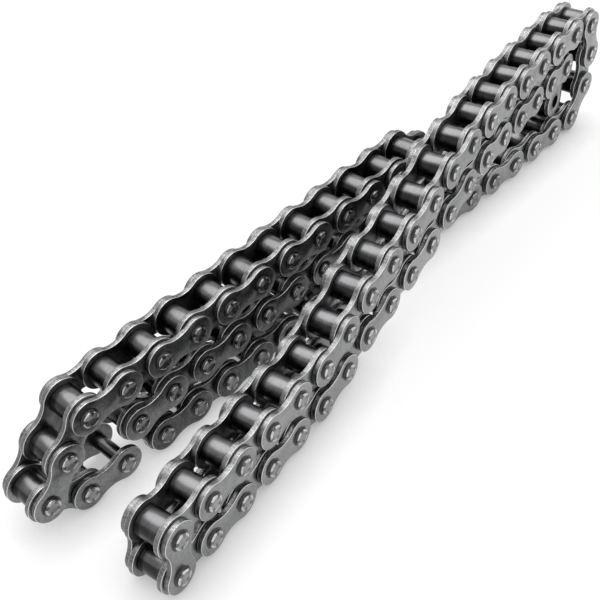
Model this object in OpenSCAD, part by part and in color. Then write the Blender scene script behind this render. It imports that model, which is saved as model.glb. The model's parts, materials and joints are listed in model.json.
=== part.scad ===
// Roller chain for a motorcycle, folded into a flat bundle as it comes out of its box.
// The chain is one run of outer and inner links. Each link lies in an upright plane, and its pins are level.

/* [Chain] */
// Distance between neighbouring pin centres
pitch = 12.7; // [12:0.1:16]
// Roller diameter
roller_d = 8.51; // [7.7:0.01:9]
// Clear width between the inner plates
inner_w = 7.94; // [6.3:0.01:10]
// Pin diameter
pin_d = 4.45; // [3.9:0.01:4.8]
// Bush outer diameter
bush_d = 6.1; // [5.9:0.01:6.6]

/* [Plates] */
// Thickness of every plate
plate_t = 1.5; // [1:0.05:1.9]
// Height of an inner plate at its ends
inner_plate_h = 11.8; // [11:0.05:12]
// Height of an inner plate at its waist
inner_waist_h = 8.6; // [7.6:0.05:9.6]
// Height of an outer plate at its ends
outer_plate_h = 10.4; // [9.6:0.05:10.8]
// Height of an outer plate at its waist
outer_waist_h = 7.2; // [6.6:0.05:8.2]

/* [Fits] */
// Radial clearance of a pin in its bush
pin_clear = 0.1; // [0.09:0.005:0.1]
// Radial clearance of a roller on its bush
roller_clear = 0.1; // [0.05:0.01:0.15]
// End clearance of a roller between its plates
roller_end_clear = 0.12; // [0.08:0.01:0.2]
// Gap between an inner and an outer plate
side_clear = 0.25; // [0.2:0.01:0.4]
// Gap that keeps a pressed pin or bush a separate piece from its plate
press_gap = 0.01; // [0.005:0.005:0.02]

/* [Pin ends] */
// How far a riveted pin end stands out of its plate
rivet_h = 1.05; // [0.6:0.05:1.4]
// Diameter of the riveted rim
rivet_d = 4.9; // [4.8:0.05:5.4]
// Chamfer on the edges of rollers and pin ends
edge_chamfer = 0.3; // [0.1:0.05:0.4]

/* [Fold] */
// Gap between the plates of a strand and those of the strand above it
strand_gap = 0.4; // [0.35:0.05:0.9]
// How far the near fold leans from upright
near_lean = 2.5; // [1.5:0.1:3]
// Heading of the left arm against the right arm, in degrees
arm_angle = 7.6; // [6:0.1:9]

/* [Hidden] */
$fn = 48;
steel = [0.33, 0.34, 0.35];
bright_steel = [0.5, 0.5, 0.5];
blue_steel = [0.2, 0.22, 0.25];

// Faces and lengths across the chain, from its middle plane
inner_face_y = inner_w / 2;
bush_half = inner_face_y + plate_t;
outer_face_y = bush_half + side_clear;
pin_half = outer_face_y + plate_t + rivet_h;
roller_len = inner_w - 2 * roller_end_clear;
bush_bore_r = pin_d / 2 + pin_clear;
roller_bore_r = bush_d / 2 + roller_clear;
// Waist arcs are this much larger than tangent ones, so they cross the rounded ends cleanly
side_cut = 1.025;

// Height from one strand to the strand above it
layer_h = inner_plate_h + strand_gap;
// Links in the strands. Their numbers keep outer links even, so they change in pairs
left_links = 11;
floor_links = 16;
right_links = 18;
near_level_links = 4;

// Slopes of the left outer fold, from the tail up to the upper strand
left_fold_low = 48;
left_fold_high = 42;
left_fold_tuck = asin(2 * layer_h / pitch - sin(left_fold_low) - sin(left_fold_high));
// The middle strand's last link droops towards the tail, and one link tucks under it
droop_h = 1.4;
droop = asin(droop_h / pitch);
tuck = asin((layer_h - droop_h) / pitch);
// The left arm's strands meet in a V of two links
arm_fold = acos(layer_h / 2 / pitch);
// The far fold climbs three layers in four links
far_fold = [50, 82, 102];
far_fold_last = 180 - asin(3 * layer_h / pitch - sum_sines(far_fold));
// The near fold is one link that leans
near_fold_h = sqrt(pitch * pitch - near_lean * near_lean);
near_fold = 180 + asin(near_fold_h / pitch);
// Slopes where the right arm's strands climb over the floor strand, scaled to the height that is left.
// The upper strand climbs sooner, which keeps it clear of the lower one
low_climb = climb_slopes([12, 19, 10, 10, 13, 18, 15, 10, 4]);
top_climb = climb_slopes([17, 20, 12, 11, 14, 17, 12, 6, 2]);
far_level_links = right_links - 1 - near_level_links - len(low_climb);
// The last link hangs from the end of the lower right strand, and leans over the floor strand,
// which it clears by this much
rest_gap = 0.35;
hang_h = 3 * layer_h - near_fold_h - inner_plate_h - rest_gap;
hang = asin(min(hang_h / pitch, 1)) - 180;

function sum_sines(v, i = 0) = i == len(v) ? 0 : sin(v[i]) + sum_sines(v, i + 1);
function run(n, slope) = [for (i = [0:1:n - 1]) slope];
function climb_slopes(shape) =
    [for (a = shape) asin((3 * layer_h - near_fold_h) / pitch / sum_sines(shape) * sin(a))];
function turned_back(v) = [for (i = [len(v) - 1:-1:0]) 180 + v[i]];

// Slope of every link in its own upright plane, from the left arm's tail to the free end
slopes = concat(
    [180, 180 - left_fold_tuck, left_fold_low, left_fold_high],
    run(left_links, 0),
    [arm_fold - 90, -arm_fold - 90],
    run(left_links - 2, 180), [180 + droop, -tuck],
    run(floor_links, 0),
    far_fold, [far_fold_last],
    run(far_level_links, 180), turned_back(top_climb), run(near_level_links + 1, 180),
    [near_fold],
    run(near_level_links + 1, 0), low_climb, run(far_level_links, 0),
    [hang]
);
link_count = len(slopes);

// Where each stretch starts in the run of links
left_fold_links = 4;
far_fold_links = len(far_fold) + 1;
first_middle = left_fold_links + left_links + 1;
first_floor = first_middle + left_links + 1;
first_far = first_floor + floor_links;
first_right = first_far + far_fold_links;
near_link = first_right + right_links;

// Heading of every link, in degrees. Each pin's play lets the chain turn aside a little
side_step = 0.8;
floor_heading = -arm_angle - 3.3;
middle_heading = -arm_angle + 0.45;
floor_turn_at = first_far - 5;
function heading(i) =
    i < first_middle - 1 ? -arm_angle
    : i < first_floor ? min(-arm_angle + 0.15 * (i - first_middle + 2), middle_heading)
    : i < floor_turn_at ? max(middle_heading - side_step * (i - first_floor + 1), floor_heading)
    : min(0, floor_heading + side_step * (i - floor_turn_at + 1));

function along(i) = pitch * [
    cos(slopes[i]) * cos(heading(i)),
    cos(slopes[i]) * sin(heading(i)),
    sin(slopes[i])
];
function walk(i, at) = i == link_count ? [at] : concat([at], walk(i + 1, at + along(i)));
raw_pins = walk(0, [0, 0, inner_plate_h / 2]);

// The origin lies under the middle of the bundle's box
function reach(i, r, y) = [
    r * cos(heading(i)) + y * abs(sin(heading(i))),
    y * cos(heading(i)) + r * abs(sin(heading(i)))
];
plate_reach = [for (i = [0:link_count]) reach(min(i, link_count - 1), inner_plate_h / 2, bush_half)];
pin_reach = [for (i = [0:link_count]) reach(min(i, link_count - 1), rivet_d / 2 - edge_chamfer, pin_half)];
low_x = min([for (i = [0:link_count]) raw_pins[i].x - plate_reach[i].x]);
high_x = max([for (i = [0:link_count]) raw_pins[i].x + plate_reach[i].x]);
low_y = min([for (i = [0:link_count - 1]) raw_pins[i].y - pin_reach[i].y]);
high_y = max([for (i = [0:link_count - 1]) raw_pins[i].y + pin_reach[i].y]);
middle = [(low_x + high_x) / 2, (low_y + high_y) / 2, 0];
pins = [for (p = raw_pins) p - middle];

// Outer links have even numbers from the tail on, counted from 0
function is_outer(i) = i % 2 == 0;
function two_digits(n) = str(n < 10 ? "0" : "", n);
function link_name(i) = str(is_outer(i) ? "pin_link_" : "roller_link_", two_digits(i + 1));
function roller_name(i, end) = str("roller_", two_digits(i + 1), end == 0 ? "a" : "b");

// Links with a node of their own, and those whose rollers spin in nodes of their own
left_own = [0:first_middle - 1];
right_own = [first_far:near_link];
spinning = [3, 5, near_link - 3, near_link - 1];
function in_list(v, i) = len([for (x = v) if (x == i) x]) > 0;
// Strands that stay packed are split by kind of piece
floor_strand = [first_middle:first_far - 1];
low_strand = [near_link + 1:link_count - 2];
free_link = link_count - 1;
piece_kinds = ["outer_plates", "pins", "inner_plates", "bushes", "rollers"];

module at_link(i) {
    translate(pins[i]) rotate([0, -slopes[i], heading(i)]) children();
}

// Two pin places of one link, in the link's own frame
module at_both_ends() {
    for (x = [0, pitch]) translate([x, 0, 0]) children();
}

// A waisted plate in the XZ plane, from y = 0 to its thickness
module plate(end_r, waist_r, hole_r) {
    side_r = side_cut * (pow(pitch / 2, 2) + waist_r * waist_r - end_r * end_r) / 2 / (end_r - waist_r);
    meet = [pitch / 2, waist_r + side_r] * end_r / (end_r + side_r);
    translate([0, plate_t, 0]) rotate([90, 0, 0]) linear_extrude(plate_t) difference() {
        union() {
            at_both_ends() circle(end_r);
            translate([meet.x, -meet.y]) square([pitch - 2 * meet.x, 2 * meet.y]);
        }
        for (side = [-1, 1]) translate([pitch / 2, side * (waist_r + side_r)]) circle(side_r, $fn = 96);
        at_both_ends() circle(hole_r);
    }
}

module both_sides(y) {
    for (side = [0, 1]) mirror([0, side, 0]) translate([0, y, 0]) children();
}

module outer_plates() {
    color(steel) both_sides(outer_face_y) plate(outer_plate_h / 2, outer_waist_h / 2, pin_d / 2 + press_gap);
}

module inner_plates() {
    color(steel) both_sides(inner_face_y) plate(inner_plate_h / 2, inner_waist_h / 2, bush_d / 2 + press_gap);
}

// A pin with both its ends riveted over the outer plates
module pin() {
    rim_y = pin_half - rivet_h + press_gap;
    rim_r = rivet_d / 2;
    half = [
        [pin_d / 2, rim_y], [rim_r, rim_y], [rim_r, pin_half - edge_chamfer],
        [rim_r - edge_chamfer, pin_half]
    ];
    color(bright_steel) rotate([90, 0, 0]) rotate_extrude() polygon(concat(
        [[0, pin_half], [0, -pin_half]],
        [for (i = [3:-1:0]) [half[i].x, -half[i].y]],
        half
    ));
}

module bush() {
    color(steel) rotate([90, 0, 0]) difference() {
        cylinder(h = 2 * bush_half, r = bush_d / 2, center = true);
        cylinder(h = 2 * bush_half + 2, r = bush_bore_r, center = true);
    }
}

module roller() {
    r = roller_d / 2;
    half = roller_len / 2;
    color(blue_steel) rotate([90, 0, 0]) rotate_extrude() polygon([
        [roller_bore_r, -half], [r - edge_chamfer, -half], [r, -half + edge_chamfer],
        [r, half - edge_chamfer], [r - edge_chamfer, half], [roller_bore_r, half]
    ]);
}

module outer_link(i) {
    at_link(i) {
        outer_plates();
        at_both_ends() pin();
    }
}

module inner_link(i) {
    at_link(i) {
        inner_plates();
        at_both_ends() bush();
        if (!in_list(spinning, i)) at_both_ends() roller();
    }
}

module link(i) {
    if (is_outer(i)) outer_link(i);
    else inner_link(i);
}

module spinning_roller(i, end) {
    at_link(i) translate([end * pitch, 0, 0]) roller();
}

module strand_outer(strand, kind) {
    for (i = strand) if (is_outer(i)) at_link(i) {
        if (kind == "outer_plates") outer_plates();
        if (kind == "pins") at_both_ends() pin();
    }
}

module strand_inner(strand, kind) {
    for (i = strand) if (!is_outer(i)) at_link(i) {
        if (kind == "inner_plates") inner_plates();
        if (kind == "bushes") at_both_ends() bush();
        if (kind == "rollers") at_both_ends() roller();
    }
}

module strand_pieces(strand, kind) {
    strand_outer(strand, kind);
    strand_inner(strand, kind);
}

for (i = left_own) link(i);
for (i = right_own) link(i);
link(free_link);
for (i = spinning, end = [0, 1]) spinning_roller(i, end);
for (kind = piece_kinds) strand_pieces(floor_strand, kind);
for (kind = piece_kinds) strand_pieces(low_strand, kind);
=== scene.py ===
import json
import math

import bmesh
import bpy
import numpy as np
from bpy.props import FloatProperty, FloatVectorProperty, PointerProperty
from mathutils import Matrix, Vector

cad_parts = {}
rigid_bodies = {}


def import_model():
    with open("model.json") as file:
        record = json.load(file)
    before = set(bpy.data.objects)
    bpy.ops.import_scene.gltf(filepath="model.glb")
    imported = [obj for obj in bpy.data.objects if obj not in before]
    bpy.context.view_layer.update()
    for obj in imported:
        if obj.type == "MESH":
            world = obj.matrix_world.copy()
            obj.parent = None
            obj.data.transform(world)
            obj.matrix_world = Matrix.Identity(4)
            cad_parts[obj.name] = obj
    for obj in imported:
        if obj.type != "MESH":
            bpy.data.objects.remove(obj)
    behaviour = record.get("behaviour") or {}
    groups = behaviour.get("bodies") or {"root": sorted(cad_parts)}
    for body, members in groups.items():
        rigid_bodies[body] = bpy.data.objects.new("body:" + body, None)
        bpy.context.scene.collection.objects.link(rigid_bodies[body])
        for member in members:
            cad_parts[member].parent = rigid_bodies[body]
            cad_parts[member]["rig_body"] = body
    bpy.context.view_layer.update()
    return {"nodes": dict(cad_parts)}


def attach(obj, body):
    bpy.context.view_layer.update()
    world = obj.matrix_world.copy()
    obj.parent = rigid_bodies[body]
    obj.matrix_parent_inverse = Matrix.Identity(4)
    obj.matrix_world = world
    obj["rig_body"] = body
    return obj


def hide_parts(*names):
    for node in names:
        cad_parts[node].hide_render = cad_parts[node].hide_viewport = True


bl_info = {
    "name": "Folded roller chain",
    "version": (1, 0, 0),
    "blender": (4, 5, 0),
    "location": "3D View > Sidebar > Chain",
    "description": "Dresses the links of a folded roller chain in rounded, oiled steel",
    "category": "Object",
}

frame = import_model()

# Lengths are in metres.

# The camera: its bearing, tilt and roll, the point it looks at and how far it stands
# from it, and its focal length as a share of the picture's width
VIEW_AZIMUTH = math.radians(-50.44)
VIEW_TILT = math.radians(42.61)
VIEW_ROLL = math.radians(-7.01)
VIEW_REACH = 0.1963
VIEW_AIM = Vector((-0.08223, -0.04235, 0.07601))
FOCAL_SHARE = 940 / 600
SENSOR_WIDTH = 36
CLIP_START = 0.01

AROUND = 48  # facets round a pin, bush or roller
SAME_CORNER = 1e-6  # corners of a CAD solid that are this near are one
SAME_TURNED_CORNER = 1e-7
SHARP = math.radians(50)  # edges that bend more than this aren't shaded smooth

# The piece's own coordinates and its film of oil and painted shade, kept on its
# vertices for the materials
GRAIN = "grain"
OIL_AND_SHADE = "oil"

PLURAL = {
    "outer_plate": "outer_plates",
    "inner_plate": "inner_plates",
    "pin": "pins",
    "bush": "bushes",
    "roller": "rollers",
}
# Which kinds are turned about their own axis by chance, so that their marks differ
ROUND = {"outer_plate": 0, "inner_plate": 0, "pin": 1, "bush": 1, "roller": 1}
# The solids are sorted along this slant, which no two of them share, so that each
# gets the same random numbers in every run
SLANT = np.array((1.0, 0.37, 0.11))

# A solid is a plate if its least size is under this share of the next one. Otherwise
# it is a pin, bush or roller, by its greatest size over its least.
PLATE_SHARE = 1 / 3
PIN_RATIO = 2.5
BUSH_RATIO = 1.5

# The film of oil and painted shade: the right arm's oil, what the left arm has more as
# painted shade for the darker surroundings that it reflects, what its fold has less of
# that, and how far chance changes it
OIL_RIGHT = 0.2
LEFT_ARM_PAINTED_SHADE = 0.7
FOLD_LESS_PAINTED_SHADE = 0.5
OIL_CHANCE = 0.2
# Where the left arm starts along Y and its fold along -X, and over what length the
# painted shade changes there
LEFT_START, LEFT_OVER = -0.016, 0.008
FOLD_START, FOLD_OVER = 0.094, 0.016
# A roller is painted lighter where its surface faces up more than PAINTED_LIGHT_START,
# as a painted highlight, and keeps this share of its film there. Below and at the sides
# it
# is painted dark as painted shade: its film is full where the surface faces up less
# than that by PAINTED_LIGHT_OVER.
PAINTED_LIGHT_START, PAINTED_LIGHT_OVER = 0.78, 0.1
PAINTED_LIGHT_FILM_SHARE = 0.3

# Plates: faces that bend less than FLAT are one, and those that face across the chain
# more than FACE_ACROSS are the flat sides. Edges that bend more than RIM, in radians,
# are broken.
FLAT = math.radians(0.6)
FACE_ACROSS = 0.9
RIM = 1.0
PLATE_FACE, PLATE_WALL, PLATE_EDGE = range(3)

# The middle of a rounded edge lies inside the corner by this share of the rounding
CORNER_SHARE = 0.3
# A bush's edges are rounded by this share of a roller's
BUSH_ROUND_SHARE = 0.5

# A pin's end, from the middle out: the radius as a share of the rivet's rim, and the
# depth as a share of the dish
DISH = ((0, 1), (0.2, 0.94), (0.48, 0.5), (0.74, 0.02), (0.84, 0))
CREST_SHARE, CREST_DROP = 0.94, 0.00007
RIM_DROP = 0.0003
RIVET_HEAD = 0.00104  # how far a rivet stands out of the plate
SHAFT_SHARE = 0.908  # a shaft's radius as a share of its rim's
# The oil that gathers round a rivet, as height over the plate
FILLET_TOP, FILLET_MIDDLE, FILLET_FOOT = 0.00025, 0.0001, 0.00002
FILLET_MIDDLE_REACH = 0.00016
# What each part of a pin is made of, and where the dish and the rim end
PIN_FACE, PIN_SIDE, PIN_RIM, PIN_MARK = range(4)
PIN_FACE_SHARE = 0.8
PIN_RIM_DEPTH = 0.00025
# The four marks of the riveting tool: where they start and end as shares of the rim,
# how far below the pin's end they reach, how far apart they are and half their width
# in degrees, and from what share of their depth on they have a steel of their own
MARK_FROM, MARK_TO = 0.6, 0.97
MARK_DEPTH = 0.0002
MARK_SPACING = 90
MARK_HALF_WIDTH = 17
MARK_STEEL_FROM = 0.5

# How each steel looks: its dark and light colour as multiples of one colour, the least
# and the most roughness, the height of the relief, how fine the fine and the broad
# pattern are along, across and up, how much of the light colour a full film of oil and
# painted shade takes away, the fine pattern's share of the colour, and the weight of
# the coat of oil
FINISHES = {
    "tumbled_plate_steel": {
        "rough": (0.28, 0.44),
        "bump": 0.000015,
        "fine": (1300, 900, 1300),
        "broad": (200, 200, 200),
        "oiled": 0.85,
        "speck": 0.25,
    },
    "blanked_wall_steel": {
        "rough": (0.34, 0.5),
        "bump": 0.00005,
        "fine": (2000, 900, 2000),
        "broad": (420, 420, 420),
        "oiled": 0.25,
        "speck": 0.6,
    },
    "worn_edge_steel": {
        "shades": (0.5, 1),
        "rough": (0.25, 0.36),
        "bump": 0.00001,
        "fine": (3000, 3000, 3000),
        "broad": (260, 260, 260),
        "oiled": 0.3,
        "speck": 0.3,
    },
    "rivet_face_steel": {
        "shades": (0.15, 0.9),
        "rough": (0.26, 0.42),
        "bump": 0.00003,
        "fine": (1100, 1100, 1100),
        "broad": (400, 400, 400),
        "oiled": 0.7,
        "speck": 0.3,
    },
    "pin_side_steel": {
        "shades": (0.05, 0.14),
        "rough": (0.25, 0.35),
        "bump": 0.00001,
        "fine": (700, 4000, 700),
        "broad": (300, 300, 300),
        "oiled": 0.5,
        "speck": 0.3,
    },
    # The rivet's rim is lighter than its dish: partly wear, partly a painted highlight
    "rivet_rim_wear_and_highlight_steel": {
        "shades": (0.4, 1.8),
        "rough": (0.22, 0.32),
        "bump": 0.00003,
        "fine": (1100, 1100, 1100),
        "broad": (400, 400, 400),
        "oiled": 0.6,
        "speck": 0.4,
    },
    "rivet_mark_steel": {
        "shades": (0.05, 0.5),
        "rough": (0.25, 0.4),
        "bump": 0.00002,
        "fine": (1500, 1500, 1500),
        "broad": (400, 400, 400),
        "oiled": 0.5,
        "speck": 0.5,
    },
    "bush_steel": {
        "shades": (0.7, 1),
        "rough": (0.3, 0.4),
        "bump": 0.00001,
        "fine": (600, 3000, 600),
        "broad": (300, 300, 300),
        "oiled": 0.3,
        "speck": 0.3,
    },
    "blued_roller_steel": {
        "shades": (0.28, 1.5),
        "rough": (0.26, 0.4),
        "bump": 0.000008,
        "fine": (400, 2600, 400),
        "broad": (160, 260, 160),
        "oiled": 0.9,
        "speck": 0.2,
        "coat": 0.2,
    },
}
COAT = 0.25
COAT_ROUGHNESS = 0.18
# Each pattern's detail and roughness
FINE_NOISE = (4.0, 0.65)
BROAD_NOISE = (3.0, 0.6)
# The range that a noise keeps to for the most part
NOISE_LOW, NOISE_HIGH = 0.35, 0.65
# The broad pattern's part of the colour, before the fine pattern's share goes off
BROAD_LOW, BROAD_HIGH = 0.9, 1.2
# Blender numbers the colour sockets of a Mix node, because several share a name
MIX_A, MIX_B, MIX_RESULT = 6, 7, 2

# The floor: half its width, how far it lies under the chain, and its glow to the
# camera near the chain and at FLOOR_FAR from it, where it meets the white background
FLOOR_HALF = 40
FLOOR_DROP = 0.0001
GLOW_NEAR, GLOW_FAR = 0.895, 0.99
FLOOR_FAR = 2.2
# The floor's glow sinks to this share where pieces within this reach shut it in: a
# painted contact shadow
SHADE_REACH = 0.012
SHADE_LEAST = 0.3
SHADE_SAMPLES = 8
# The sky's strength as light on the chain. To the camera it is white.
SKY_LIGHT = 0.35
KEY_PLACE = (0.25, 0.5, 1.42)
KEY_TARGET = (0, 0, 0.02)
KEY_SIZE = 1.8


def ramp(value, start, over):
    """0 up to the start, then a slope to 1."""
    return min(max((value - start) / over, 0), 1)


def islands(bm):
    """The faces of each separate solid in a mesh, in the mesh's own order."""
    seen, found = set(), []
    for first in bm.faces:
        if first in seen:
            continue
        seen.add(first)
        reach, group = [first], []
        while reach:
            face = reach.pop()
            group.append(face)
            for edge in face.edges:
                for other in edge.link_faces:
                    if other not in seen:
                        seen.add(other)
                        reach.append(other)
        found.append(group)
    return found


def own_axes(faces):
    """A solid's middle, its own axes as columns, and its corners along them.

    The axes run from the one with the least spread to the one with the most.
    """
    corners = np.array([[list(v.co) for v in f.verts] for f in faces], float)
    sums = corners.sum(1)
    area = np.linalg.norm(
        np.cross(corners[:, 1] - corners[:, 0], corners[:, 2] - corners[:, 0]), axis=1
    )
    centre = (sums / 3 * area[:, None]).sum(0) / area.sum()
    offset = corners - centre
    total = sums - 3 * centre
    moments = np.einsum("n,nki,nkj->ij", area, offset, offset)
    moments += np.einsum("n,ni,nj->ij", area, total, total)
    _, axes = np.linalg.eigh(moments)
    return centre, axes, (corners.reshape(-1, 3) - centre) @ axes


def read_solid(node, faces):
    """A CAD solid's kind and place, and its sizes if it is round.

    In its place X runs along a plate and Y across the chain. The sizes are the
    least and the greatest radius and the length.
    """
    centre, axes, points = own_axes(faces)
    extent = points.max(0) - points.min(0)
    thin, middle, long = sorted(extent)
    size = None
    if thin < middle * PLATE_SHARE:
        kind = "inner_plate" if "inner" in node or "roller" in node else "outer_plate"
        across, along = axes[:, int(extent.argmin())], axes[:, int(extent.argmax())]
    else:
        if long > PIN_RATIO * thin:
            kind = "pin"
        else:
            kind = "bush" if long > BUSH_RATIO * thin else "roller"
        odd = int(extent.argmin() if kind == "roller" else extent.argmax())
        across = axes[:, odd]
        along = np.cross(across, (0.0, 0.0, 1.0))
        rest = [i for i in range(3) if i != odd]
        radius = np.hypot(points[:, rest[0]], points[:, rest[1]])
        size = (float(radius.min()), float(radius.max()), float(extent[odd]))
    across = across * np.sign(across[1])
    along = along - across * along.dot(across)
    along = along / np.linalg.norm(along) * np.sign(along.dot(SLANT))
    place = Matrix(np.column_stack([along, across, np.cross(along, across)]).tolist())
    place = place.to_4x4()
    place.translation = Vector(centre)
    return {"kind": kind, "node": node, "place": place, "size": size}


def read_chain():
    """Every CAD solid, and one solid of each plate kind moved to the origin."""
    solids, plates = [], {}
    for node, shown in frame["nodes"].items():
        bm = bmesh.new()
        bm.from_mesh(shown.data)
        bmesh.ops.remove_doubles(bm, verts=bm.verts, dist=SAME_CORNER)
        for faces in islands(bm):
            solid = read_solid(node, faces)
            solids.append(solid)
            if solid["kind"].endswith("plate") and solid["kind"] not in plates:
                alone = bm.copy()
                keep = {f.index for f in faces}
                alone.faces.ensure_lookup_table()
                others = [f for f in alone.faces if f.index not in keep]
                bmesh.ops.delete(alone, geom=others, context="FACES")
                alone.transform(solid["place"].inverted())
                plates[solid["kind"]] = alone
        bm.free()
    solids.sort(key=lambda solid: SLANT.dot(solid["place"].translation))
    return solids, plates


solids, plate_blanks = read_chain()


def oil_and_shade_share(solid, rng):
    """How thickly a solid is oiled, with painted shade on the left arm, less at its
    fold.
    """
    place = solid["place"].translation
    left = ramp(place.y, LEFT_START, LEFT_OVER)
    fold = ramp(-place.x, FOLD_START, FOLD_OVER)
    share = OIL_RIGHT + left * (LEFT_ARM_PAINTED_SHADE - FOLD_LESS_PAINTED_SHADE * fold)
    return min(max(share + rng.uniform(-OIL_CHANCE, OIL_CHANCE), 0), 1)


def paint_roller_light_top(verts, place, film_and_shade):
    """A roller is painted light where it faces up, a painted highlight, and dark below
    and at the sides, painted shade.
    """
    centre, across = place.translation, place.col[1].to_3d()
    for v in verts:
        out = v.co - centre
        out = (out - across * out.dot(across)).normalized()
        v[film_and_shade] = PAINTED_LIGHT_FILM_SHARE * v[film_and_shade] + ramp(-out.z, -PAINTED_LIGHT_START, PAINTED_LIGHT_OVER)


def finish_group(kind, blank, materials):
    """Make a piece for each CAD node that holds this kind, from copies of the blank."""
    rng = np.random.default_rng(len(kind))
    shape = bpy.data.meshes.new(kind)
    blank.to_mesh(shape)
    blank.free()
    nodes = sorted({s["node"] for s in solids if s["kind"] == kind})
    if not nodes:
        raise RuntimeError("No CAD node holds a " + kind)
    for node in nodes:
        bm = bmesh.new()
        layer = bm.verts.layers.float_vector.new(GRAIN)
        film_and_shade = bm.verts.layers.float.new(OIL_AND_SHADE)
        for solid in (s for s in solids if s["node"] == node and s["kind"] == kind):
            before = len(bm.verts)
            bm.from_mesh(shape)
            bm.verts.ensure_lookup_table()
            new = bm.verts[before:]
            shift = Vector(rng.uniform(-1, 1, 3))
            # The film: oil everywhere, and painted shade on the left arm
            oil = oil_and_shade_share(solid, rng)
            turn = Matrix.Rotation(rng.uniform(-1, 1) * math.pi * ROUND[kind], 3, "Y")
            for v in new:
                v[layer] = v.co + shift
                v[film_and_shade] = oil
                v.co = turn @ v.co
            bmesh.ops.transform(bm, matrix=solid["place"], verts=new)
            # Rollers get a painted highlight on top and painted shade below
            if kind == "roller":
                paint_roller_light_top(new, solid["place"], film_and_shade)
        mesh = bpy.data.meshes.new(node + "_" + kind)
        bm.to_mesh(mesh)
        bm.free()
        mesh.shade_smooth()
        mesh.set_sharp_from_angle(angle=SHARP)
        for material in materials:
            mesh.materials.append(material)
        piece = bpy.data.objects.new(node + "_" + PLURAL[kind], mesh)
        bpy.context.scene.collection.objects.link(piece)
        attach(piece, frame["nodes"][node]["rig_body"])
        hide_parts(node)
    bpy.data.meshes.remove(shape)


def rounded_plate(kind, round_over):
    """The CAD plate with its edges broken, and an index for each of its materials."""
    if kind not in plate_blanks:
        raise RuntimeError("The CAD model has no " + kind)
    bm = plate_blanks[kind]
    bmesh.ops.dissolve_limit(bm, angle_limit=FLAT, verts=bm.verts, edges=bm.edges)
    for face in bm.faces:
        is_flat = abs(face.normal.y) > FACE_ACROSS
        face.material_index = PLATE_FACE if is_flat else PLATE_WALL
    rims = [e for e in bm.edges if e.is_manifold and e.calc_face_angle() > RIM]
    rounded = bmesh.ops.bevel(
        bm,
        geom=rims,
        offset=round_over,
        segments=2,
        profile=0.5,
        affect="EDGES",
        material=-1,
        clamp_overlap=True,
    )
    for face in rounded["faces"]:
        face.material_index = PLATE_EDGE
    for edge in bm.edges:
        edge.smooth = len({face.material_index for face in edge.link_faces}) == 1
    return bm


def turned(half):
    """A solid turned about Y from (radius, height) points of its upper half.

    The points run down from the top. Those that start on the axis close there, and
    the others are closed by a bore.
    """
    profile = half + [(r, -y) for r, y in reversed(half)]
    bm = bmesh.new()
    verts = [bm.verts.new((r, y, 0)) for r, y in profile]
    edges = [bm.edges.new(pair) for pair in zip(verts, verts[1:])]
    if profile[0][0] > 0:
        edges.append(bm.edges.new((verts[-1], verts[0])))
    bmesh.ops.spin(
        bm,
        geom=verts + edges,
        cent=(0, 0, 0),
        axis=(0, 1, 0),
        angle=2 * math.pi,
        steps=AROUND,
        use_merge=True,
    )
    bmesh.ops.remove_doubles(bm, verts=bm.verts, dist=SAME_TURNED_CORNER)
    bm.verts.sort(key=lambda vert: SLANT.dot(vert.co))
    bm.faces.sort(key=lambda face: SLANT.dot(face.calc_center_median()))
    bmesh.ops.recalc_face_normals(bm, faces=bm.faces)
    return bm


def ring(size, round_over):
    """A bush or roller with rounded outer edges, from its bore, radius and length."""
    bore, outer, length = size
    top = length / 2
    corner = [
        (outer - round_over, top),
        (outer - CORNER_SHARE * round_over, top - CORNER_SHARE * round_over),
        (outer, top - round_over),
    ]
    return turned([(bore, top)] + corner)


def size_of(kind):
    """The sizes of the first solid of a round kind."""
    found = [s["size"] for s in solids if s["kind"] == kind]
    if not found:
        raise RuntimeError("The CAD model has no " + kind)
    return found[0]


def pin_blank(look, rim, length):
    """A pin with dished and riveted ends, and oil where they meet the plates."""
    top = length / 2
    plate = top - RIVET_HEAD
    return turned(
        [(share * rim, top - depth * look.dish) for share, depth in DISH]
        + [
            (CREST_SHARE * rim, top - CREST_DROP),
            (rim, top - RIM_DROP),
            (rim, plate + FILLET_TOP),
            (rim + FILLET_MIDDLE_REACH, plate + FILLET_MIDDLE),
            (rim + look.fillet, plate + FILLET_FOOT),
            (rim + look.fillet, plate),
            (SHAFT_SHARE * rim, plate),
        ]
    )


def index_pin(bm, rim, top):
    """Give the faces of a pin the materials of its dish, its rim and its sides."""
    for face in bm.faces:
        far = max(abs(v.co.y) for v in face.verts)
        reach = max(math.hypot(v.co.x, v.co.z) for v in face.verts)
        if reach < PIN_FACE_SHARE * rim:
            face.material_index = PIN_FACE
        else:
            face.material_index = PIN_SIDE if far < top - PIN_RIM_DEPTH else PIN_RIM


def mark_pin(bm, rim, top, depth):
    """Press the riveting tool's four marks into both ends of a pin."""
    for v in bm.verts:
        r = math.hypot(v.co.x, v.co.z)
        if MARK_FROM * rim < r < MARK_TO * rim and abs(v.co.y) > top - MARK_DEPTH:
            turn = math.degrees(math.atan2(v.co.z, v.co.x)) % MARK_SPACING
            off = abs(turn - MARK_SPACING / 2) / MARK_HALF_WIDTH
            near = max(0.0, 1 - off**2)
            v.co.y -= math.copysign(depth * near, v.co.y)
            if near > MARK_STEEL_FROM:
                for face in v.link_faces:
                    face.material_index = PIN_MARK


def nodes_of(material):
    """The emptied node tree of a material or a world."""
    material.use_nodes = True
    tree = material.node_tree
    tree.nodes.clear()
    return tree


def add(tree, kind, **values):
    """A node with its settings, and its sockets' values by name."""
    node = tree.nodes.new(kind)
    for name, value in values.items():
        if name in node.inputs:
            node.inputs[name].default_value = value
        else:
            setattr(node, name, value)
    return node


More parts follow.
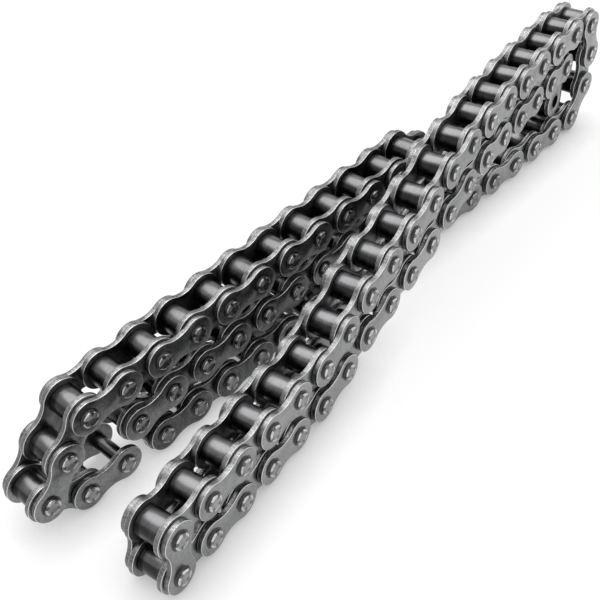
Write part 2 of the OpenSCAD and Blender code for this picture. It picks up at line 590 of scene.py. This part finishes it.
def remap(tree, value, start, end, low, high, curve="LINEAR"):
    """A value's range from start to end, turned into the range from low to high."""
    node = add(tree, "ShaderNodeMapRange", interpolation_type=curve)
    node.inputs["From Min"].default_value = start
    node.inputs["From Max"].default_value = end
    node.inputs["To Min"].default_value = low
    node.inputs["To Max"].default_value = high
    tree.links.new(value, node.inputs["Value"])
    return node.outputs["Result"]


def math_of(tree, operation, first, second):
    """The result of an operation on two sockets."""
    node = add(tree, "ShaderNodeMath", operation=operation)
    tree.links.new(first, node.inputs[0])
    tree.links.new(second, node.inputs[1])
    return node.outputs[0]


def grain(tree, scale):
    """The coordinates that turn with each link, scaled along, across and up."""
    source = add(tree, "ShaderNodeAttribute", attribute_name=GRAIN)
    stretch = add(tree, "ShaderNodeMapping")
    stretch.inputs["Scale"].default_value = scale
    tree.links.new(source.outputs["Vector"], stretch.inputs["Vector"])
    return stretch.outputs["Vector"]


def noise(tree, scale, detail, rough):
    """A noise that turns with each link."""
    node = add(tree, "ShaderNodeTexNoise", Scale=1.0, Detail=detail, Roughness=rough)
    tree.links.new(grain(tree, scale), node.inputs["Vector"])
    return node.outputs["Fac"]


def spread(tree, value, low, high):
    """A noise's middle range stretched between two values."""
    return remap(tree, value, NOISE_LOW, NOISE_HIGH, low, high)


def steel(name, dark, light):
    """Oiled steel whose colour, gloss and relief vary with two patterns, and whose
    colour darkens with the film of oil and painted shade.
    """
    finish = FINISHES[name]
    speck = finish["speck"]
    material = bpy.data.materials.new(name)
    tree = nodes_of(material)
    out = add(tree, "ShaderNodeOutputMaterial")
    shader = add(tree, "ShaderNodeBsdfPrincipled", Metallic=1.0)
    shader.inputs["Coat Weight"].default_value = finish.get("coat", COAT)
    shader.inputs["Coat Roughness"].default_value = COAT_ROUGHNESS
    fine = noise(tree, finish["fine"], *FINE_NOISE)
    broad = noise(tree, finish["broad"], *BROAD_NOISE)
    pattern = add(tree, "ShaderNodeMath", operation="MULTIPLY_ADD")
    pattern.inputs[1].default_value = speck
    tree.links.new(spread(tree, fine, 0, 1), pattern.inputs[0])
    tree.links.new(
        spread(tree, broad, BROAD_LOW - speck, BROAD_HIGH - speck), pattern.inputs[2]
    )
    # The film of oil and painted shade takes the light colour away
    film_and_shade = add(tree, "ShaderNodeAttribute", attribute_name=OIL_AND_SHADE)
    oiled = add(tree, "ShaderNodeMath", operation="MULTIPLY_ADD", use_clamp=True)
    oiled.inputs[1].default_value = -finish["oiled"]
    tree.links.new(film_and_shade.outputs["Fac"], oiled.inputs[0])
    tree.links.new(pattern.outputs[0], oiled.inputs[2])
    tint = add(tree, "ShaderNodeMix", data_type="RGBA")
    tint.inputs[MIX_A].default_value = (*dark, 1)
    tint.inputs[MIX_B].default_value = (*light, 1)
    tree.links.new(oiled.outputs[0], tint.inputs["Factor"])
    tree.links.new(tint.outputs[MIX_RESULT], shader.inputs["Base Color"])
    tree.links.new(spread(tree, broad, *finish["rough"]), shader.inputs["Roughness"])
    relief = add(tree, "ShaderNodeBump", Strength=1.0, Distance=finish["bump"])
    tree.links.new(fine, relief.inputs["Height"])
    tree.links.new(relief.outputs["Normal"], shader.inputs["Normal"])
    tree.links.new(shader.outputs["BSDF"], out.inputs["Surface"])
    return material


class PlateLook(bpy.types.PropertyGroup):
    round_over: FloatProperty(
        name="Edge rounding",
        description="How far the edges of the plates are broken",
        default=0.00012,
        min=0.00005,
        max=0.0004,
        precision=5,
        unit="LENGTH",
    )
    dark: FloatVectorProperty(
        name="Dark steel",
        description="Colour of the plates where the oil film is thick",
        default=(0.042, 0.043, 0.045),
        size=3,
        min=0,
        max=1,
        subtype="COLOR",
    )
    light: FloatVectorProperty(
        name="Light steel",
        description="Colour of the plates where they are rubbed",
        default=(0.362, 0.366, 0.366),
        size=3,
        min=0,
        max=1,
        subtype="COLOR",
    )
    wall_dark: FloatVectorProperty(
        name="Dark wall",
        description="Colour of the hollows in the blanked walls of the plates",
        default=(0.02, 0.02, 0.02),
        size=3,
        min=0,
        max=1,
        subtype="COLOR",
    )
    wall_light: FloatVectorProperty(
        name="Light wall",
        description="Colour of the ridges in the blanked walls of the plates",
        default=(0.215, 0.218, 0.215),
        size=3,
        min=0,
        max=1,
        subtype="COLOR",
    )
    edge: FloatVectorProperty(
        name="Worn edge",
        description="Colour of the broken edges",
        default=(0.75, 0.755, 0.75),
        size=3,
        min=0,
        max=1,
        subtype="COLOR",
    )


class PinLook(bpy.types.PropertyGroup):
    dish: FloatProperty(
        name="Dish depth",
        description="Depth of the hollow in a riveted pin end",
        default=0.00034,
        min=0,
        max=0.0004,
        precision=5,
        unit="LENGTH",
    )
    mark: FloatProperty(
        name="Rivet mark depth",
        description="Depth of the four marks that the riveting tool leaves",
        default=0.00022,
        min=0,
        max=0.0004,
        precision=5,
        unit="LENGTH",
    )
    fillet: FloatProperty(
        name="Oil fillet",
        description="How far the oil that gathers round a rivet reaches over the plate",
        default=0.0005,
        min=0.0001,
        max=0.0008,
        precision=5,
        unit="LENGTH",
    )
    colour: FloatVectorProperty(
        name="Pin steel",
        description="Colour of the pins",
        default=(0.38, 0.382, 0.38),
        size=3,
        min=0,
        max=1,
        subtype="COLOR",
    )


class RollerLook(bpy.types.PropertyGroup):
    round_over: FloatProperty(
        name="Edge rounding",
        description="How far the edges of rollers and bushes are rounded",
        default=0.00025,
        min=0.00005,
        max=0.0004,
        precision=5,
        unit="LENGTH",
    )
    colour: FloatVectorProperty(
        name="Roller steel",
        description="Colour of the rollers, which have a blued surface",
        default=(0.075, 0.075, 0.077),
        size=3,
        min=0,
        max=1,
        subtype="COLOR",
    )


class StageLook(bpy.types.PropertyGroup):
    floor: FloatVectorProperty(
        name="Floor",
        description="Colour of the floor",
        default=(0.11, 0.11, 0.11),
        size=3,
        min=0,
        max=1,
        subtype="COLOR",
    )
    lamp_power: FloatProperty(
        name="Key lamp",
        description="Power of the large soft lamp over the chain",
        default=31,
        min=0,
        max=50,
    )


def scaled(colour, factor):
    """A colour times a factor, white at most."""
    return tuple(min(1, c * factor) for c in colour)


def shades(name, colour):
    """A steel between two multiples of one colour."""
    dark, light = FINISHES[name]["shades"]
    return steel(name, scaled(colour, dark), scaled(colour, light))


def finish_plates(look, kind):
    """Dress the plates of one kind. The materials are in the order of the indices."""
    materials = [
        steel("tumbled_plate_steel", look.dark, look.light),
        steel("blanked_wall_steel", look.wall_dark, look.wall_light),
        shades("worn_edge_steel", look.edge),
    ]
    blank = rounded_plate(kind, look.round_over)
    finish_group(kind, blank, materials)


class CHAIN_OT_outer_plates(bpy.types.Operator):
    """Dress the waisted plates of the outer links"""

    bl_idname = "chain.outer_plates"
    bl_label = "Outer plates"

    def execute(self, context):
        finish_plates(context.scene.chain_plates, "outer_plate")
        return {"FINISHED"}


class CHAIN_OT_inner_plates(bpy.types.Operator):
    """Dress the waisted plates of the inner links"""

    bl_idname = "chain.inner_plates"
    bl_label = "Inner plates"

    def execute(self, context):
        finish_plates(context.scene.chain_plates, "inner_plate")
        return {"FINISHED"}


class CHAIN_OT_pins(bpy.types.Operator):
    """Turn the pins, with a dished and marked rivet at both ends"""

    bl_idname = "chain.pins"
    bl_label = "Pins"

    def execute(self, context):
        look = context.scene.chain_pins
        _, rim, length = size_of("pin")
        bm = pin_blank(look, rim, length)
        index_pin(bm, rim, length / 2)
        mark_pin(bm, rim, length / 2, look.mark)
        # In the order of PIN_FACE, PIN_SIDE, PIN_RIM and PIN_MARK
        materials = [
            shades("rivet_face_steel", look.colour),
            shades("pin_side_steel", look.colour),
            shades("rivet_rim_wear_and_highlight_steel", look.colour),
            shades("rivet_mark_steel", look.colour),
        ]
        finish_group("pin", bm, materials)
        return {"FINISHED"}


class CHAIN_OT_bushes(bpy.types.Operator):
    """Turn the bushes that join the inner plates"""

    bl_idname = "chain.bushes"
    bl_label = "Bushes"

    def execute(self, context):
        look = context.scene.chain_rollers
        bm = ring(size_of("bush"), BUSH_ROUND_SHARE * look.round_over)
        bush_steel = shades("bush_steel", look.colour)
        finish_group("bush", bm, [bush_steel])
        return {"FINISHED"}


class CHAIN_OT_rollers(bpy.types.Operator):
    """Turn the blued rollers, with fine rings from the lathe"""

    bl_idname = "chain.rollers"
    bl_label = "Rollers"

    def execute(self, context):
        look = context.scene.chain_rollers
        bm = ring(size_of("roller"), look.round_over)
        roller_steel = shades("blued_roller_steel", look.colour)
        finish_group("roller", bm, [roller_steel])
        return {"FINISHED"}


def area_lamp(name, place, target, size, power):
    """Add a round lamp that faces its target."""
    lamp = bpy.data.lights.new(name, "AREA")
    lamp.shape = "DISK"
    lamp.size = size
    lamp.energy = power
    shown = bpy.data.objects.new(name, lamp)
    bpy.context.scene.collection.objects.link(shown)
    shown.location = place
    aim = Vector(target) - Vector(place)
    shown.rotation_euler = aim.to_track_quat("-Z", "Y").to_euler()


def pale_to_view(tree):
    """1 for rays from the camera, a mirror or a glass, and 0 for light on the chain."""
    path = add(tree, "ShaderNodeLightPath")
    total = path.outputs["Is Camera Ray"]
    for name in ("Is Glossy Ray", "Is Transmission Ray"):
        total = math_of(tree, "MAXIMUM", total, path.outputs[name])
    return total


def floor_paper(colour):
    """A matt floor that takes shadows, and glows to the camera, with a painted contact
    shadow in its glow where pieces are near.
    """
    paper = bpy.data.materials.new("pale_floor")
    tree = nodes_of(paper)
    where = add(tree, "ShaderNodeTexCoord")
    far = add(tree, "ShaderNodeVectorMath", operation="LENGTH")
    tree.links.new(where.outputs["Object"], far.inputs[0])
    level = remap(
        tree, far.outputs["Value"], 0, FLOOR_FAR, GLOW_NEAR, GLOW_FAR, "SMOOTHSTEP"
    )
    # A painted contact shadow: the glow sinks where pieces are near
    shade = add(tree, "ShaderNodeAmbientOcclusion", samples=SHADE_SAMPLES)
    shade.inputs["Distance"].default_value = SHADE_REACH
    shaded = remap(tree, shade.outputs["AO"], 0, 1, SHADE_LEAST, 1)
    kept = math_of(tree, "MULTIPLY", level, shaded)
    lift = math_of(tree, "MULTIPLY", pale_to_view(tree), kept)
    glow = add(tree, "ShaderNodeEmission")
    tree.links.new(lift, glow.inputs["Strength"])
    matt = add(tree, "ShaderNodeBsdfDiffuse", Color=(*colour, 1))
    both = add(tree, "ShaderNodeAddShader")
    tree.links.new(matt.outputs[0], both.inputs[0])
    tree.links.new(glow.outputs[0], both.inputs[1])
    out = add(tree, "ShaderNodeOutputMaterial")
    tree.links.new(both.outputs[0], out.inputs["Surface"])
    return paper


def studio_world():
    """A soft white sky that is brighter to the camera than on the chain."""
    world = bpy.data.worlds.new("studio")
    tree = nodes_of(world)
    sky = add(tree, "ShaderNodeBackground", Color=(1, 1, 1, 1))
    strength = remap(tree, pale_to_view(tree), 0, 1, SKY_LIGHT, 1)
    tree.links.new(strength, sky.inputs["Strength"])
    out = add(tree, "ShaderNodeOutputWorld")
    tree.links.new(sky.outputs[0], out.inputs["Surface"])
    return world


def photo_camera():
    """A camera at the photograph's angle and distance."""
    level_ahead = Vector((-math.sin(VIEW_AZIMUTH), math.cos(VIEW_AZIMUTH), 0))
    right = Vector((math.cos(VIEW_AZIMUTH), math.sin(VIEW_AZIMUTH), 0))
    ahead = level_ahead * math.cos(VIEW_TILT) - Vector((0, 0, math.sin(VIEW_TILT)))
    up = right.cross(ahead)
    c, s = math.cos(VIEW_ROLL), math.sin(VIEW_ROLL)
    right, up = right * c + up * s, up * c - right * s
    lens = bpy.data.cameras.new("camera")
    lens.sensor_fit = "HORIZONTAL"
    lens.sensor_width = SENSOR_WIDTH
    lens.lens = SENSOR_WIDTH * FOCAL_SHARE
    lens.clip_start = CLIP_START
    camera = bpy.data.objects.new("camera", lens)
    view = Matrix((right, up, -ahead)).transposed().to_4x4()
    view.translation = VIEW_AIM - ahead * VIEW_REACH
    camera.matrix_world = view
    return camera


class CHAIN_OT_stage(bpy.types.Operator):
    """Set the pale floor, the soft studio light and the camera"""

    bl_idname = "chain.stage"
    bl_label = "Stage"

    def execute(self, context):
        scene = context.scene
        look = scene.chain_stage
        bm = bmesh.new()
        bmesh.ops.create_grid(bm, x_segments=1, y_segments=1, size=FLOOR_HALF)
        mesh = bpy.data.meshes.new("floor")
        bm.to_mesh(mesh)
        bm.free()
        mesh.materials.append(floor_paper(look.floor))
        floor = bpy.data.objects.new("floor", mesh)
        floor.location.z = -FLOOR_DROP
        scene.collection.objects.link(floor)
        scene.world = studio_world()
        area_lamp("key", KEY_PLACE, KEY_TARGET, KEY_SIZE, look.lamp_power)
        camera = photo_camera()
        scene.collection.objects.link(camera)
        scene.camera = camera
        scene.view_settings.view_transform = "Standard"
        return {"FINISHED"}


class CHAIN_PT_panel(bpy.types.Panel):
    """The looks of the chain and the steps that build it"""

    bl_idname = "CHAIN_PT_panel"
    bl_label = "Roller chain"
    bl_space_type = "VIEW_3D"
    bl_region_type = "UI"
    bl_category = "Chain"

    def draw(self, context):
        scene = context.scene
        for name in LOOKS:
            box = self.layout.box()
            look = getattr(scene, name)
            for key in look.__annotations__:
                box.prop(look, key)
        for step in STEPS:
            self.layout.operator(step.bl_idname)


LOOKS = {
    "chain_plates": PlateLook,
    "chain_pins": PinLook,
    "chain_rollers": RollerLook,
    "chain_stage": StageLook,
}
STEPS = (
    CHAIN_OT_stage,
    CHAIN_OT_outer_plates,
    CHAIN_OT_inner_plates,
    CHAIN_OT_pins,
    CHAIN_OT_bushes,
    CHAIN_OT_rollers,
)


def register():
    for shown in (*LOOKS.values(), *STEPS, CHAIN_PT_panel):
        bpy.utils.register_class(shown)
    for name, look in LOOKS.items():
        setattr(bpy.types.Scene, name, PointerProperty(type=look))


def unregister():
    for name in LOOKS:
        delattr(bpy.types.Scene, name)
    for shown in (CHAIN_PT_panel, *reversed(STEPS), *LOOKS.values()):
        bpy.utils.unregister_class(shown)


def main():
    register()
    bpy.ops.chain.stage()
    bpy.ops.chain.outer_plates()
    bpy.ops.chain.inner_plates()
    bpy.ops.chain.pins()
    bpy.ops.chain.bushes()
    bpy.ops.chain.rollers()


if __name__ == "__main__":
    main()
